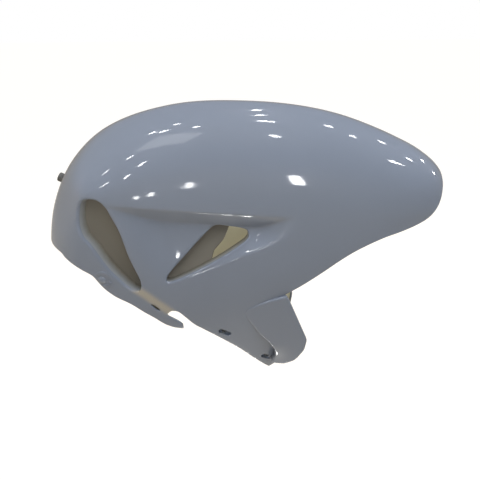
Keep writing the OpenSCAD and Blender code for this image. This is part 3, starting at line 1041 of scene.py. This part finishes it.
def build_camera():
    """The photograph's camera: on the right of the part, looking down on it."""
    data = bpy.data.cameras.new("camera")
    data.sensor_fit = "HORIZONTAL"
    data.sensor_width = CAMERA_SENSOR
    data.lens = CAMERA_LENS
    data.clip_start = 0.01
    camera = bpy.data.objects.new("camera", data)
    bpy.context.scene.collection.objects.link(camera)
    flat = math.cos(CAMERA_UP)
    away = Vector((flat * math.sin(CAMERA_SIDE), -flat * math.cos(CAMERA_SIDE), math.sin(CAMERA_UP)))
    camera.location = CAMERA_TARGET + CAMERA_DISTANCE * away
    camera.rotation_euler = (-away).to_track_quat("-Z", "Y").to_euler()
    bpy.context.scene.camera = camera


def build_stage(light):
    """A plain pale floor well under the part, soft light and the camera of the photograph."""
    bpy.context.scene.view_settings.view_transform = "Standard"
    build_floor(light)
    build_backdrop(light)
    build_world(light)
    build_lamps(light)
    build_camera()


# ---- the add-on

def length_property(name, description, default, low, high):
    """A length in metres, its default and limits given in millimetres."""
    return FloatProperty(name=name, description=description, default=default / 1000, min=low / 1000,
                         max=high / 1000, precision=4, unit="LENGTH")


def light_property(name, description, default, high, subtype="FACTOR"):
    return FloatProperty(name=name, description=description, default=default, min=0.0, max=high,
                         subtype=subtype)


def colour_property(name, description, default):
    return FloatVectorProperty(name=name, description=description, default=linear(default), min=0.0,
                               max=1.0, size=3, subtype="COLOR")


class MudguardSizes(bpy.types.PropertyGroup):
    """Sizes and colours of the part"""
    wall: length_property("Wall", "Thickness of the moulded wall", 3.0, 2.0, 4.0)
    stud_round: length_property("Stud rounding", "Rounding of the stud's end", 1.2, 0.2, 3.0)
    peel: length_property("Orange peel", "Width of the paint's orange peel", 3.0, 1.0, 10.0)
    paint: colour_property("Paint", "Colour of the gloss paint", "#77808f")
    bare: colour_property("Bare plastic", "Colour of the unpainted ABS inside", "#cfd0c0")
    stud: colour_property("Stud", "Colour of the hose guide stud", "#545452")


class MudguardLight(bpy.types.PropertyGroup):
    """Strengths of the studio's light"""
    room: light_property("Room light", "Strength of the light from all round", 0.45, 2.0)
    key: light_property("Softboxes", "Strength of the softboxes", 1.0, 4.0)
    lamps: light_property("Small lamps", "Brightness of the small lamps that show in the paint",
                          34.0, 60.0, "NONE")
    floor_glow: light_property("Floor white", "How much the floor is lifted towards white", 0.95, 1.0)
    backdrop: light_property("Reflected room", "Brightness of the room in reflections", 1.0, 2.0)


class MUDGUARD_OT_moulding(bpy.types.Operator):
    """Build the painted moulding with its openings, boots, bosses and holes"""
    bl_idname = "mudguard.moulding"
    bl_label = "Painted moulding"

    def execute(self, context):
        build_moulding(context.scene.mudguard_sizes)
        return {"FINISHED"}


class MUDGUARD_OT_stud(bpy.types.Operator):
    """Build the hose guide stud on the tail"""
    bl_idname = "mudguard.stud"
    bl_label = "Hose guide stud"

    def execute(self, context):
        build_stud(context.scene.mudguard_sizes)
        return {"FINISHED"}


class MUDGUARD_OT_stage(bpy.types.Operator):
    """Build the floor, the lights and the camera"""
    bl_idname = "mudguard.stage"
    bl_label = "Studio"

    def execute(self, context):
        build_stage(context.scene.mudguard_light)
        return {"FINISHED"}


class MUDGUARD_PT_panel(bpy.types.Panel):
    """The part's sizes, colours and builders in the sidebar"""
    bl_idname = "MUDGUARD_PT_panel"
    bl_label = "Front mudguard"
    bl_space_type = "VIEW_3D"
    bl_region_type = "UI"
    bl_category = "Mudguard"

    def draw(self, context):
        for group in (context.scene.mudguard_sizes, context.scene.mudguard_light):
            for name in group.__annotations__:
                self.layout.prop(group, name)
        for op in (MUDGUARD_OT_moulding, MUDGUARD_OT_stud, MUDGUARD_OT_stage):
            self.layout.operator(op.bl_idname)


CLASSES = (MudguardSizes, MudguardLight, MUDGUARD_OT_moulding, MUDGUARD_OT_stud, MUDGUARD_OT_stage,
           MUDGUARD_PT_panel)


def register():
    for c in CLASSES:
        bpy.utils.register_class(c)
    bpy.types.Scene.mudguard_sizes = PointerProperty(type=MudguardSizes)
    bpy.types.Scene.mudguard_light = PointerProperty(type=MudguardLight)


def unregister():
    del bpy.types.Scene.mudguard_sizes, bpy.types.Scene.mudguard_light
    for c in reversed(CLASSES):
        bpy.utils.unregister_class(c)


def main():
    register()
    bpy.ops.mudguard.stage()
    bpy.ops.mudguard.moulding()
    bpy.ops.mudguard.stud()


if __name__ == "__main__":
    main()
